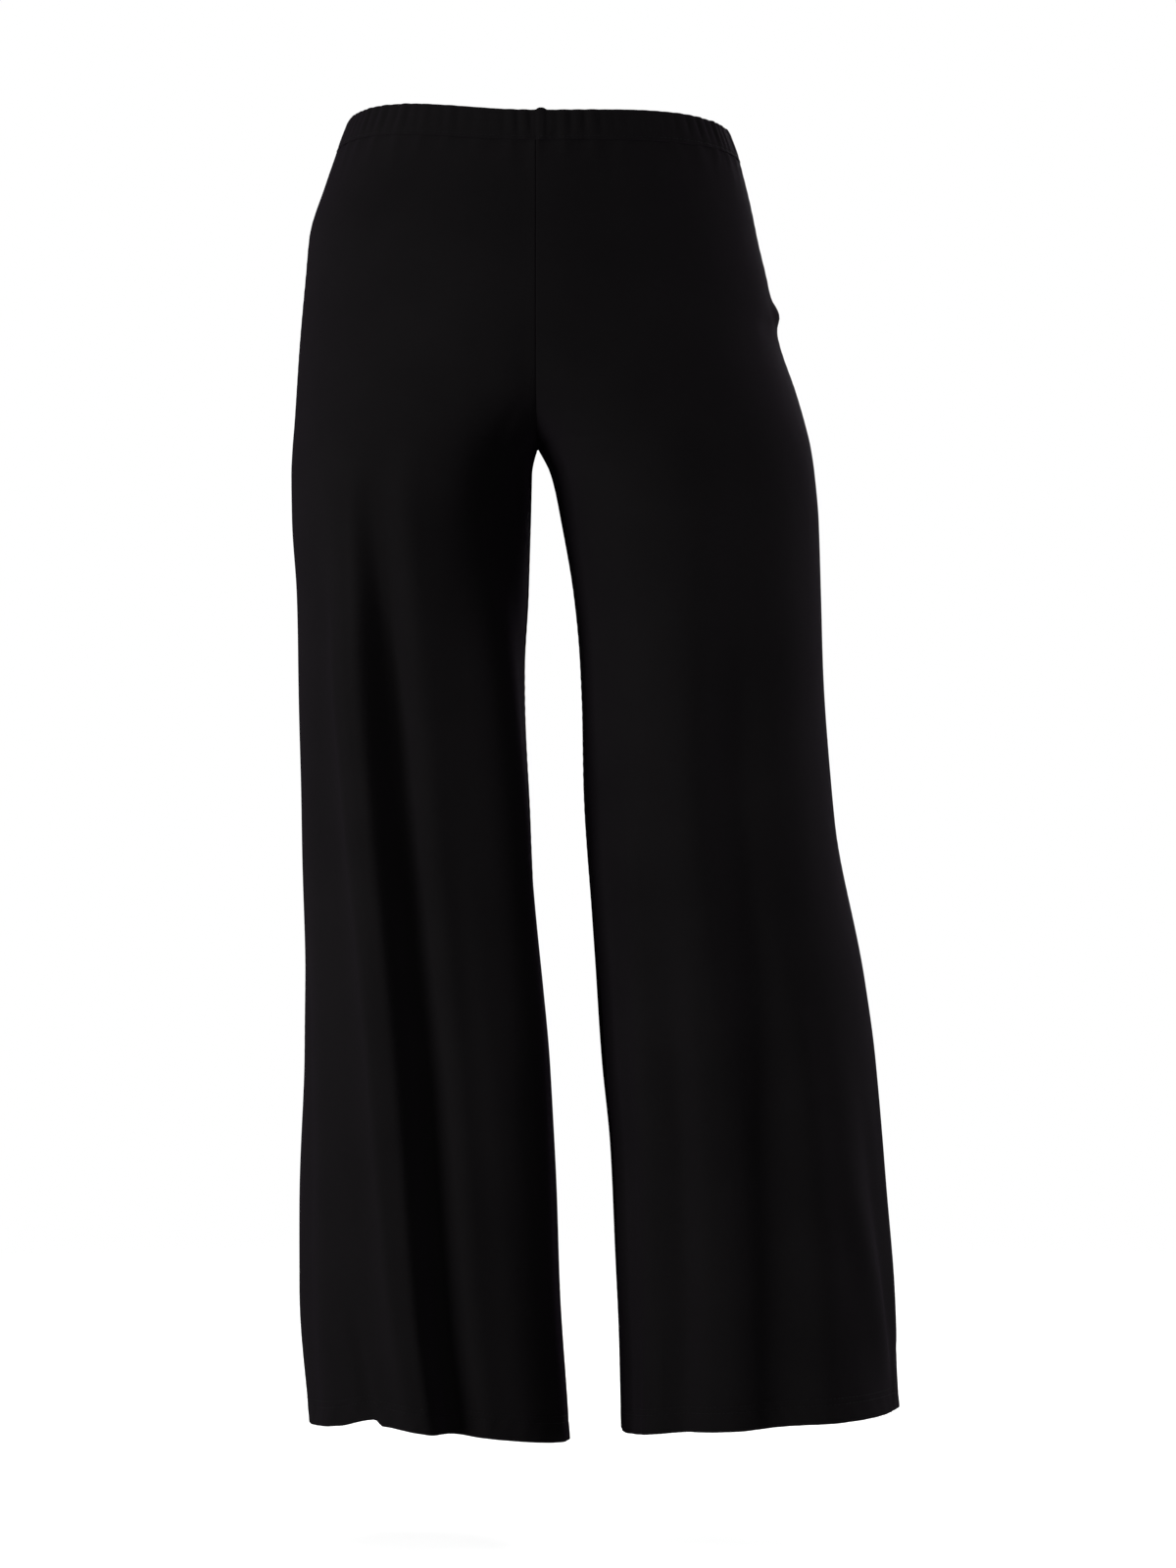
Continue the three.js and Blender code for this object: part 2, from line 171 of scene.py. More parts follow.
SEAM_STILL = 34  # near the middle seam the cloth is held, so folds die away over this distance

# How the waist and the hems lie off the level, as the solids have it. A swell lifts a hem most at one angle.
WAIST_BACK = 12.6
WAIST_FRONT = -14
WAIST_TILT_END = 170
WAIST_SIDES = {"left": {"side": 17, "swell": 6.5}, "right": {"side": 8, "swell": 3.6}}
HEMS = {
    "left": {
        "middle": -4, "outer_rise": 6, "back_rise": 9, "front_rise": 3,
        "swell": 6, "at": 118, "width": 26,
    },
    "right": {
        "middle": 4.8, "outer_rise": 10.2, "back_rise": 4.2, "front_rise": 2,
        "swell": 3, "at": 55, "width": 25,
    },
}

# The left hem's small step, where a fold tucks it up. Degrees round the leg, and millimetres.
HEM_STEP = {"at": 112, "up_over": 4, "down_over": 17, "height": 4.4, "starts": 965}

# Slow, low waves that keep the cloth from being perfectly smooth. Each has a height, a length round the leg
# and one down it, and a share of the leg's own shift. Then comes its sway: size, the same two lengths, and
# share of the shift.
NONE = float("inf")  # the length of a wave that isn't there
SLACK_WAVES = (
    (0.5, 31, 97, 1, 1.1, NONE, 143, 1),
    (0.34, 17, -171, 2.7, 0.9, NONE, 88, 0),
    (0.2, 41, 23, 1.7, 1.3, 29, NONE, 0),
)
SLACK_SHIFTS = {"left": 0, "right": 2.1}
SLACK_STARTS = 60  # they grow over this length below the waistband

# The waistband's gathers. Size, waves round the waist and start in degrees of each slow wave that makes their
# spacing and depth uneven.
GATHERS = 88
GATHER_DEPTH = 1.6
GATHER_SHIFTS = ((0.9, 5, 57), (0.7, 11, 0))
GATHER_SHARES = ((0.6, 0, 90), (0.25, 7, 115), (0.15, 17, 0))
GATHER_LEANS = ((0.5, 3, 20), (0.4, 13, 70))
GATHER_LEAN = 1.6  # how far a gather leans from its middle line, in radians of its wave
GATHER_SIZES = {"middle": 0.9, "spread": 0.55, "waves": (2.4, 0.9)}  # how much each differs from the next
GATHER_CREASE = 0.012  # rounds the crease between two gathers
GATHER_SUNK = 0.6  # the share of a gather that lies inside the band's level
HELD_FLAT = {"by": 0.62, "starts": 14, "over": 7}  # the stitches hold the gathers flat
TOP_FLAT = {"by": 0.25, "over": 3}  # so does the fold at the top edge

# The bump and the seam where the waistband's ends are joined, and a dent beside them.
JOIN_PLACE = -4  # across from the middle of the back
JOIN_HALF_WIDTH = 3.6
JOIN_RISE = 1.5
JOIN_FADES = 6  # the rise is gone at this drop
JOIN_PROUD = 0.8
JOIN_GROOVE = {"half_width": 1.1, "depth": 0.7}
DENT = {"across": -15, "drop": 20.5, "size": 3.4, "depth": 1.1}
BAND_PROUD = 0.7  # the waistband stands this far out of the panels

# Seams. Each panel's edge turns in over a small round and ends in a seam allowance inside.
SEAM_ROUND = 0.95
SEAM_PRESS = 0.02  # each panel's edge reaches this far past the seam's own plane, so no light shows through
ALLOWANCE = 5.5
LEAST_ALLOWANCE = 0.12  # at the crotch the allowances are snipped down to this share
ALLOWANCE_ROWS = 12  # and grow again over this many rows
SIDE = {"left": 1, "right": -1}
CUT_STEPS = 40  # halvings in the search for the middle plane


def ease(t):
    t = np.clip(t, 0, 1)
    return t * t * (3 - 2 * t)


def bell(t):
    return np.exp(-np.square(t))


def waves(table, turn):
    """The sum of slow waves round the waist."""
    return sum(size * np.sin(count * turn + np.radians(start)) for size, count, start in table)


def section(column, drop):
    """A smooth value between the rows of SECTIONS that have the column, never past two neighbours."""
    at = SECTION_COLUMNS.index(column)
    rows = [row for row in SECTIONS if row[at] is not None]
    knots = np.array([row[0] for row in rows], float)
    values = np.array([row[at] for row in rows], float)
    gaps = np.diff(knots)
    slopes = np.diff(values) / gaps
    before, after = slopes[:-1], slopes[1:]
    same = before * after > 0
    middle = np.where(same, 2 * before * after / np.where(same, before + after, 1), 0)
    tangents = np.concatenate([slopes[:1], middle, slopes[-1:]])
    i = np.clip(np.searchsorted(knots, drop, side="right") - 1, 0, len(gaps) - 1)
    t = (drop - knots[i]) / gaps[i]
    return (
        values[i] * (2 * t**3 - 3 * t**2 + 1)
        + tangents[i] * gaps[i] * (t**3 - 2 * t**2 + t)
        + values[i + 1] * (3 * t**2 - 2 * t**3)
        + tangents[i + 1] * gaps[i] * (t**3 - t**2)
    )


def squared(angle):
    return 1 + FULLNESS * np.sin(2 * angle) ** 2


def leg_share(drop):
    return np.clip((drop - CROTCH_DROP) / (HEM_DROP - CROTCH_DROP), 0, 1)


def edges(leg, angle, drop):
    """The inner and outer edge of a leg's oval, as they are for one angle."""
    outer = section(leg + "_outer", drop)
    cleft = section("cleft", np.minimum(drop, CROTCH_DROP))
    parted = section(leg + "_inner", np.maximum(drop, CROTCH_DROP))
    inner = np.where(drop < CROTCH_DROP, -outer * (1 - cleft) / (1 + cleft), parted)
    away = 1 - ((1 + np.cos(angle)) / 2) ** INSEAM_SHARPNESS
    return inner - outer * LAG * away * bell((drop - LAG_DROP) / LAG_LENGTH), outer


def across(leg, angle, drop):
    """How far from the middle plane the oval is, before any fold."""
    inner, outer = edges(leg, angle, drop)
    return (outer + inner) / 2 - (outer - inner) / 2 * np.cos(angle) * squared(angle)


def cut_angle(drop):
    """The angle where the middle plane cuts the ovals: a quarter turn at the waist, none at the crotch."""
    low = np.zeros_like(drop)
    high = np.full_like(drop, np.pi / 2)
    for _ in range(CUT_STEPS):
        middle = (low + high) / 2
        inside = across("left", middle, drop) < 0
        low = np.where(inside, middle, low)
        high = np.where(inside, high, middle)
    return np.where(drop < CROTCH_DROP, high, 0)


def lifted(table, angle, drop):
    """How far a table of folds lifts the cloth at a place on the unrolled leg."""
    lift = np.zeros(np.broadcast(angle, drop).shape)
    for row in table:
        fold = dict(zip(FOLD_COLUMNS, row))
        line = np.array([np.radians(fold["end"] - fold["start"]) * FOLD_RADIUS, fold["bottom"] - fold["top"]])
        length = np.hypot(*line)
        for turn in (-2 * np.pi, 0, 2 * np.pi):
            x = (angle + turn - np.radians(fold["start"])) * FOLD_RADIUS
            y = drop - fold["top"]
            share = (x * line[0] + y * line[1]) / length**2
            aside = (x * line[1] - y * line[0]) / length
            grown = ease(share / fold["rise"])
            if fold["fall"]:
                grown = grown * ease((1 - share) / fold["fall"])
            lift += fold["height"] * grown * bell(aside / fold["width"])
    return lift


def rise(leg, angle, drop):
    """How far a point stands above its drop: the waist's tilt, and the slant of the hems."""
    sine, cosine = np.sin(angle), np.cos(angle)
    waist, hem = WAIST_SIDES[leg], HEMS[leg]
    waist_height = np.where(sine > 0, WAIST_BACK, WAIST_FRONT)
    tilt = waist["side"] + (waist_height - waist["side"]) * sine**2 + waist["swell"] * np.sin(2 * angle) ** 2
    hem_middle = hem["middle"] + np.where(sine > 0, hem["back_rise"], hem["front_rise"]) * sine**2
    swell = hem["swell"] * bell((angle - np.radians(hem["at"])) / np.radians(hem["width"]))
    slant = hem_middle - hem["outer_rise"] * cosine + swell
    return tilt * (1 - ease(drop / WAIST_TILT_END)) + slant * leg_share(drop) ** 2


def hem_step(angle, drop):
    """How far the left hem's step lifts it: up sharply at one angle, and slowly down again."""
    turned = np.degrees(angle) - HEM_STEP["at"]
    height = ease(turned / HEM_STEP["up_over"]) - ease((turned - HEM_STEP["up_over"]) / HEM_STEP["down_over"])
    return HEM_STEP["height"] * height * ease((drop - HEM_STEP["starts"]) / (HEM_DROP - HEM_STEP["starts"]))


def unevenness(leg, angle, drop):
    """The slow, low waves of SLACK_WAVES."""
    around, shift = angle * FOLD_RADIUS, SLACK_SHIFTS[leg]
    total = 0
    for height, length, fall, share, sway, sway_length, sway_fall, sway_share in SLACK_WAVES:
        swaying = sway * np.sin(around / sway_length + drop / sway_fall + sway_share * shift)
        total = total + height * np.sin(around / length + drop / fall + share * shift + swaying)
    return total


def surface(leg, angle, drop):
    """Points of the garment's outer surface, with its folds and creases."""
    inner, outer = edges(leg, angle, drop)
    depth = np.where(np.sin(angle) > 0, section("back", drop), section("front", drop))
    x = across(leg, angle, drop)
    y = depth * np.sin(angle) * squared(angle)
    out = np.stack([-np.cos(angle) * depth, np.sin(angle) * (outer - inner) / 2])
    out /= np.linalg.norm(out, axis=0)
    free = ease((x + np.maximum(0, drop - CROTCH_DROP)) / SEAM_STILL)
    below_band = ease((drop - BAND_HEIGHT) / SLACK_STARTS)
    lift = lifted(FOLDS[leg] + CREASES[leg], angle, drop) + below_band * unevenness(leg, angle, drop)
    lift = lift * free
    up = rise(leg, angle, drop)
    if leg == "left":
        up = up + hem_step(angle, drop)
    return np.stack([SIDE[leg] * (x + out[0] * lift), y + out[1] * lift, up - drop], -1)


def unit(vectors):
    return vectors / np.maximum(np.linalg.norm(vectors, axis=-1, keepdims=True), TINY)


def lengths(line):
    """How far along a line of points each of them is."""
    return np.concatenate([[0], np.cumsum(np.linalg.norm(np.diff(line, axis=0), axis=1))])


def waist_turn(leg, angle):
    """The angle from the middle of the back, round by the left side."""
    return angle - np.pi / 2 if leg == "left" else 2.5 * np.pi - angle


def gather_phase(turn):
    return GATHERS * turn + waves(GATHER_SHIFTS, turn)


def shell_mesh(name, outer, inner, uv, ring=False, flip=False):
    """A closed shell from two grids of points in millimetres. A ring's rows close on themselves."""
    rows, columns = outer.shape[:2]
    points = np.concatenate([outer.reshape(-1, 3), inner.reshape(-1, 3)]) * MM
    ids = np.arange(rows * columns).reshape(rows, columns)
    if ring:
        ids = np.concatenate([ids, ids[:, :1]], axis=1)
    back = ids + rows * columns

    def quads(a, b, c, d):
        return np.stack([a, b, c, d], -1).reshape(-1, 4)

    faces = [
        quads(ids[:-1, :-1], ids[1:, :-1], ids[1:, 1:], ids[:-1, 1:]),
        quads(back[:-1, :-1], back[:-1, 1:], back[1:, 1:], back[1:, :-1]),
        quads(ids[0, :-1], ids[0, 1:], back[0, 1:], back[0, :-1]),
        quads(ids[-1, 1:], ids[-1, :-1], back[-1, :-1], back[-1, 1:]),
    ]
    if not ring:
        faces += [
            quads(ids[1:, 0], ids[:-1, 0], back[:-1, 0], back[1:, 0]),
            quads(ids[:-1, -1], ids[1:, -1], back[1:, -1], back[:-1, -1]),
        ]
    faces = np.concatenate(faces)
    if flip:
        faces = faces[:, ::-1]
    spots = np.concatenate([uv.reshape(-1, 2), uv.reshape(-1, 2)]) * MM
    return quad_mesh(name, points, faces, spots)


def quad_mesh(name, points, faces, spots=None):
    mesh = bpy.data.meshes.new(name)
    mesh.vertices.add(len(points))
    mesh.vertices.foreach_set("co", points.astype(np.float32).ravel())
    mesh.loops.add(faces.size)
    mesh.loops.foreach_set("vertex_index", faces.astype(np.int32).ravel())
    mesh.polygons.add(len(faces))
    mesh.polygons.foreach_set("loop_start", np.arange(0, faces.size, 4, dtype=np.int32))
    if spots is not None:
        layer = mesh.uv_layers.new(name="cut")
        layer.data.foreach_set("uv", spots[faces.ravel()].astype(np.float32).ravel())
    mesh.update(calc_edges=True)
    mesh.validate()
    mesh.shade_smooth()
    piece = bpy.data.objects.new(name, mesh)
    bpy.context.scene.collection.objects.link(piece)
    return piece


# The rows of a panel's grid. They start on the middle seam above the crotch and on the inseam below it, and
# end on the side seam. Beside the crotch they bow down, so that they leave the curved seam at a good angle.
PANEL_TOP = 12  # the panel goes up between the waistband's layers to this drop
ROWS_ABOVE = 88
ROWS_BELOW = 186
SIDE_AT_CROTCH = 300
BOW = 17
BOW_SHARE = 0.14
BOW_LENGTH = 62
SEAM_SAMPLES = 900  # points of the middle seam that its rows are spaced by
FINE_HEM = np.array(
    [26.5, 25, 23.5, 22.6, 22, 21.2, 20.5, 19.8, 19, 18, 17, 16.3, 15.5, 14.7, 13.5, 12, 10, 8, 6, 4.2, 3, 2]
)
SEAM_STEPS = np.array([2, 2.9, 4.1, 5.7, 7.8])  # the first columns' distances from a seam
SLOWEST_RATE = 60  # the least that a unit of share is taken to measure across a panel
RATE_STEP = 0.004  # the share over which that is measured
PANEL_COLUMNS = 112


def panel_rows(face):
    """Each row's drop and angle at the middle seam or inseam, its drop at the side seam, and its bow."""
    last = HEM_DROP - HEM_THICK / 2
    curve = CROTCH_DROP - (CROTCH_DROP - PANEL_TOP) * np.linspace(1, 0, SEAM_SAMPLES) ** 2
    angles = cut_angle(curve)
    line = np.stack([section(face, curve) * np.sin(angles) * squared(angles), curve], -1)
    along = lengths(line)
    steps = np.linspace(0, 1, ROWS_ABOVE)
    edge = [np.interp(steps * along[-1], along, curve)]
    angle = [np.interp(steps * along[-1], along, angles)]
    side = [PANEL_TOP + (SIDE_AT_CROTCH - PANEL_TOP) * steps]
    hem_starts = HEM_DROP - FINE_HEM[0]
    below = np.linspace(0, 1, ROWS_BELOW)[1:]
    edge.append(CROTCH_DROP + (hem_starts - CROTCH_DROP) * below)
    side.append(SIDE_AT_CROTCH + (hem_starts - SIDE_AT_CROTCH) * below)
    fine = np.append(HEM_DROP - FINE_HEM[1:], last)
    edge.append(fine)
    side.append(fine)
    angle.append(np.zeros(len(below) + len(fine)))
    edge, side, angle = (np.concatenate(parts) for parts in (edge, side, angle))
    bow = BOW * bell((side - SIDE_AT_CROTCH) / BOW_LENGTH)
    return edge, angle, side, bow


# The relief of the sewing.
TUCK = 0.5  # inside the waistband the panels lie this much further in
TUCK_OVER = 3  # and come out again over this length
BELOW_BAND = 0.55  # the small folds that every second gather sends down below the waistband
BELOW_BAND_REACH = 15
BELOW_BAND_WAVES = ((6, 13, 0), (4, 31, 0))  # how that reach varies round the waist
RIPPLE = 0.2  # and those that every gather does
RIPPLE_REACH = 7
ADDED_STRENGTH = 0.25
PUCKER = 0.16  # the ripples that a seam's stitches draw, their reach, and how they vary along it
PUCKER_REACH = 6
PUCKER_PITCH = 1.5
PUCKER_DRIFT = {"size": 1.5, "length": 37}
PUCKER_SWELL = {"size": 0.4, "length": 61}
PRESSED = 0.16  # the seam allowances lift the cloth that they are pressed to
PRESSED_EDGE = 2  # over this width
HEM_STITCHES = (20.5, 15.5)  # two rows, this far above the hem's edge
HEM_GROOVE = {"depth": 0.16, "half_width": 1.1}
ROPING = {  # ripples of the sewn hem
    "size": 0.2, "pitch": 2.6, "slant": 5, "drift": 1.6, "waves": 7, "over": 5,
}


def detail(leg, face, angle, drop, from_start, from_end):
    """Small relief of the sewing: gathers under the waistband, puckers along seams, and the sewn hem."""
    turn = waist_turn(leg, angle)
    below = np.maximum(drop - BAND_HEIGHT, 0)
    strength = waves(GATHER_SHARES, turn) + ADDED_STRENGTH
    fade = bell(below / (BELOW_BAND_REACH + waves(BELOW_BAND_WAVES, turn)))
    started = ease((drop - BAND_HEIGHT + TUCK_OVER) / TUCK_OVER)
    height = BELOW_BAND * strength * np.cos(gather_phase(turn) / 2) * fade * started
    height = height + RIPPLE * strength * np.cos(gather_phase(turn)) * bell(below / RIPPLE_REACH) * started
    height = height - TUCK * (1 - started)
    pucker = np.sin(drop / PUCKER_PITCH + PUCKER_DRIFT["size"] * np.sin(drop / PUCKER_DRIFT["length"]))
    pucker = pucker * (1 - PUCKER_SWELL["size"] * (1 - np.sin(drop / PUCKER_SWELL["length"])))
    for distance in (from_start, from_end):
        height = height + PUCKER * bell(distance / PUCKER_REACH) * pucker

    def pressed(distance):
        return PRESSED * (1 - ease((distance - ALLOWANCE) / PRESSED_EDGE + 0.5))

    if face == "back":
        height = height + pressed(from_end)
    if leg == "left":
        height = height + pressed(from_start)
    above_hem = HEM_DROP - drop
    for line in HEM_STITCHES:
        height = height - HEM_GROOVE["depth"] * bell((above_hem - line) / HEM_GROOVE["half_width"])
    roping = angle * FOLD_RADIUS / ROPING["pitch"] + above_hem / ROPING["slant"]
    roping = np.sin(roping + ROPING["drift"] * np.sin(ROPING["waves"] * angle))
    return height + ROPING["size"] * roping * ease((HEM_STITCHES[0] - above_hem) / ROPING["over"])


def edge_frame(corner, toward, above):
    """Along a panel's edge, the direction down it, and the one from it towards the next column.

    The edge turns a corner after the rows above, so both stretches are measured by themselves.
    """
    stretches = [part for part in (corner[:above], corner[above:]) if len(part)]
    run = unit(np.concatenate([np.gradient(part, axis=0) for part in stretches]))
    into = toward - corner
    return run, unit(into - np.sum(into * run, -1, keepdims=True) * run)


def turned_edge(corner, toward, above, leg, sign, thick):
    """A panel's edge, turned in over a small round and on into its seam allowance, column by column.

    The rows above lie on the garment's middle plane, and their allowance follows it. The others stand
    straight in.
    """
    run, into = edge_frame(corner, toward, above)
    out = sign * unit(np.cross(into, run))
    away = into.copy()
    away[:above] = (SIDE[leg], 0, 0)
    fin = unit(np.cross(away, run))
    fin *= np.sign(np.sum(fin * (-out - into), -1, keepdims=True))
    bend = np.arccos(np.clip(-np.sum(fin * into, -1, keepdims=True), -1, 1))
    begin = corner - SEAM_PRESS * away + into * SEAM_ROUND * np.tan(bend / 2)
    centre = begin - out * SEAM_ROUND
    from_crotch = np.abs(np.arange(len(corner)) - above) if above else np.full(len(corner), np.inf)
    grown = LEAST_ALLOWANCE + (1 - LEAST_ALLOWANCE) * ease(from_crotch / ALLOWANCE_ROWS)
    reach = ALLOWANCE * grown[:, None]
    outside, inside = [], []
    for part in ARC_PARTS:
        spoke = -np.sin(bend * part) * into + np.cos(bend * part) * out
        within = centre + (SEAM_ROUND - JERSEY_THICK) * spoke
        depth = np.sum((begin - within) * out, -1, keepdims=True)
        outside.append(centre + SEAM_ROUND * spoke)
        inside.append(within - out * np.maximum(0, thick[:, None] - depth))
    for part in ALLOWANCE_PARTS:
        outside.append(outside[len(ARC_PARTS) - 1] + fin * reach * part)
        inside.append(inside[len(ARC_PARTS) - 1] + fin * reach * part)
    return np.stack(outside, 1), np.stack(inside, 1)


ARC_PARTS = (0, 0.25, 0.5, 0.75, 1)
ALLOWANCE_PARTS = (0.25, 1)
EDGE_COLUMNS = len(ARC_PARTS) + len(ALLOWANCE_PARTS) - 1  # those that a turned edge adds to a panel
HEM_FOLD_TURNS = np.radians((25, 48, 68, 84))
HEM_TURN_STARTS = HEM_TURN + 0.3  # the cloth is doubled below this height over the hem's edge


def folded_hem(outer, inner, drop, outs):
    """Adds rows that run the outer and the inner face round into each other at the hem's edge."""
    arc = np.cos(np.pi / 2 * np.array(ARC_PARTS))
    side = np.concatenate([arc, np.zeros(len(ALLOWANCE_PARTS))])
    held = np.concatenate([side[::-1], np.ones(outer.shape[1] - 2 * len(side)), side])
    down = unit(outer[-1] - outer[-2])
    radius = HEM_THICK / 2
    rows_out, rows_in, drops = [outer], [inner], [drop]
    for turn in HEM_FOLD_TURNS:
        shift = down * radius * np.sin(turn)
        pinch = outs * (held * radius * (1 - np.cos(turn)))[:, None]
        rows_out.append((outer[-1] + shift - pinch)[None])
        rows_in.append((inner[-1] + shift + pinch)[None])
        drops.append((drop[-1] + radius * turn)[None])
    return np.concatenate(rows_out), np.concatenate(rows_in), np.concatenate(drops)


def panel(leg, face):
    """One panel: a thin shell whose edges turn in at the seams and whose lower edge is turned up inside."""
    sign = SIDE[leg] * (1 if face == "back" else -1)
    edge_drop, edge_angle, side_drop, bow = (values[:, None] for values in panel_rows(face))

    def place(share):
        sweep = edge_angle + (np.pi - edge_angle) * share
        angle = sweep if face == "back" else 2 * np.pi - sweep
        sag = bow * share / BOW_SHARE * np.exp(1 - share / BOW_SHARE) * (1 - share)
        drop = edge_drop + (side_drop - edge_drop) * share + sag
        return surface(leg, angle, drop), angle, drop

    def width_rate(share, step, above):
        """Millimetres into the panel from its edge for each unit of share."""
        corner, toward = (place(np.full_like(edge_drop, s))[0][:, 0] for s in (share, share + step))
        _, into = edge_frame(corner, toward, above)
        return np.sum((toward - corner) * into, -1, keepdims=True) / abs(step)

    start_rate, end_rate = width_rate(0, RATE_STEP, ROWS_ABOVE), width_rate(1, -RATE_STEP, 0)
    first, last = SEAM_STEPS / np.maximum(start_rate, SLOWEST_RATE), 1 - SEAM_STEPS[::-1] / end_rate
    middle = np.linspace(0, 1, PANEL_COLUMNS + 2)[1:-1]
    middle = first[:, -1:] + (last[:, :1] - first[:, -1:]) * middle
    ends = np.zeros_like(edge_drop)
    share = np.concatenate([ends, first, middle, last, ends + 1], axis=1)
    points, angle, drop = place(share)
    relief = detail(leg, face, angle, drop, share * start_rate, (1 - share) * end_rate)

    def normals():
        return sign * unit(np.cross(np.gradient(points, axis=1), np.gradient(points, axis=0)))

    points = points + normals() * relief[..., None]
    outs = normals()
    thick = np.where(HEM_DROP - drop > HEM_TURN_STARTS, JERSEY_THICK, HEM_THICK)
    inner = points - outs * thick[..., None]
    start = turned_edge(points[:, 0], points[:, 1], ROWS_ABOVE, leg, sign, thick[:, 0])
    end = turned_edge(points[:, -1], points[:, -2], 0, leg, -sign, thick[:, -1])
    outer = np.concatenate([start[0][:, ::-1], points[:, 1:-1], end[0]], axis=1)
    inner = np.concatenate([start[1][:, ::-1], inner[:, 1:-1], end[1]], axis=1)
    pad = (EDGE_COLUMNS, EDGE_COLUMNS)
    drop = np.pad(drop, ((0, 0), pad), mode="edge")
    outs = np.pad(outs[-1], (pad, (0, 0)), mode="edge")
    outer, inner, drop = folded_hem(outer, inner, drop, outs)

    steps = np.linalg.norm(np.diff(outer, axis=1), axis=2)
    level = np.sqrt(np.maximum(steps**2 - np.diff(drop, axis=1) ** 2, 0))
    along = np.concatenate([np.zeros((len(outer), 1)), np.cumsum(level, axis=1)], axis=1)
    along -= along[:, along.shape[1] // 2][:, None]
    cloth = shell_mesh(f"{face}_{leg}_cloth", outer, inner, np.stack([along, -drop], -1), flip=sign < 0)
    return cloth, outer


BAND_STITCHES = 21.6  # the row's drop
BAND_COLUMNS = GATHERS * 9
BAND_ASIDE = 0.01  # the band's outward direction is measured over this angle to either side
BAND_DOWN = 1.5  # and over this drop up and down
BAND_FACE = (  # the drop and depth of each line round the outer layer, up from its lower edge
    (24.3, 0.3), (24, 0), (23.2, 0), (22.4, 0.12), (BAND_STITCHES, 0.42), (20.8, 0.12), (19.8, 0),
    (17.5, 0), (15, 0), (12.5, 0), (10, 0), (7.5, 0), (5.2, 0), (3.2, 0),
)
BAND_OVER = np.radians((0, 25, 50, 72, 90, 108, 130, 155, 180))  # round the top edge
BAND_INSIDE = tuple((drop, BAND_THICK) for drop in (4, 8, 13, 18, 22, 24.3))  # down the inner layer


def back_marks(points, drop):
    """For points round the waist: the join's bump as a share, and how deep the groove and the dent are."""
    behind = points[:, 1] > 0
    join = np.where(behind, bell(((points[:, 0] - JOIN_PLACE) / JOIN_HALF_WIDTH) ** 2), 0)
    groove = JOIN_GROOVE["depth"] * np.where(behind, bell(points[:, 0] / JOIN_GROOVE["half_width"]), 0)
    dent = np.where(behind, bell((points[:, 0] - DENT["across"]) / DENT["size"]), 0)
    return join, groove, DENT["depth"] * dent * bell((drop - DENT["drop"]) / DENT["size"])


def waistband():
    """Jersey folded over an elastic, drawn into small uneven gathers and joined at the back."""
    turn = 2 * np.pi * np.arange(BAND_COLUMNS) / BAND_COLUMNS
    half = BAND_COLUMNS // 2
    radius = BAND_THICK / 2
    core = radius - JERSEY_THICK
    outside = list(BAND_FACE)
    outside += [(radius - radius * np.sin(a), radius - radius * np.cos(a)) for a in BAND_OVER]
    outside += BAND_INSIDE
    inside = [(drop, depth + JERSEY_THICK) for drop, depth in BAND_FACE]
    inside += [(radius - core * np.sin(a), radius - core * np.cos(a)) for a in BAND_OVER]
    inside += [(drop, depth - JERSEY_THICK) for drop, depth in BAND_INSIDE]

    def place(drop, depth):
        rows = []
        for leg, angle in (("left", np.pi / 2 + turn[:half]), ("right", 2.5 * np.pi - turn[half:])):
            drops = np.full_like(angle, drop)
            points = surface(leg, angle, drops)
            around = surface(leg, angle + BAND_ASIDE, drops) - surface(leg, angle - BAND_ASIDE, drops)
            down = surface(leg, angle, drops + BAND_DOWN) - surface(leg, angle, drops - BAND_DOWN)
            rows.append((points, SIDE[leg] * unit(np.cross(around, down))))
        points, outs = (np.concatenate(parts) for parts in zip(*rows))
        join, groove, dent = back_marks(points, drop)
        phase = gather_phase(turn) + GATHER_LEAN * waves(GATHER_LEANS, turn) * (drop / BAND_HEIGHT - 0.5)
        number = np.floor(phase / (2 * np.pi) + 0.5)
        first, second = (number * wave for wave in GATHER_SIZES["waves"])
        each = GATHER_SIZES["middle"] + GATHER_SIZES["spread"] * np.sin(first) * np.cos(second)
        puff = each * np.sqrt(np.cos(phase / 2) ** 2 + GATHER_CREASE) - GATHER_SUNK
        shown = 1 - HELD_FLAT["by"] * ease((drop - HELD_FLAT["starts"]) / HELD_FLAT["over"])
        shown = shown - TOP_FLAT["by"] * (1 - ease(drop / TOP_FLAT["over"]))
        gather = GATHER_DEPTH * waves(GATHER_SHARES, turn) * puff * shown * (1 - join)
        lift = BAND_PROUD + gather + JOIN_PROUD * join - groove - dent - depth
        points = points + outs * lift[:, None]
        points[:, 2] += JOIN_RISE * join * (1 - ease(drop / JOIN_FADES))
        return points

    outer = np.stack([place(*station) for station in outside])
    inner = np.stack([place(*station) for station in inside])
    uv = np.stack(np.meshgrid(lengths(outer[len(BAND_FACE) // 2]), lengths(outer[:, 0])), -1)
    piece = shell_mesh("waistband_cloth", outer, inner, uv, ring=True)
    ring = outer[[station[0] == BAND_STITCHES for station in outside]][0]
    return piece, np.concatenate([ring, ring[:1]])


STITCH_PITCH = 3.5
STITCH_LENGTH = 2.7
THREAD = 0.23  # radius
STITCH_STEP = 0.8  # the direction of a line is measured over this length to either side
STITCH_RINGS = (  # along a stitch, how thick it is and how far it stands out
    (-0.5, 0.35, -0.2),
    (-0.38, 0.85, -0.02),
    (-0.15, 1, 0.1),
    (0.15, 1, 0.1),
    (0.38, 0.85, -0.02),
    (0.5, 0.35, -0.2),
)
STITCH_SIDES = 6


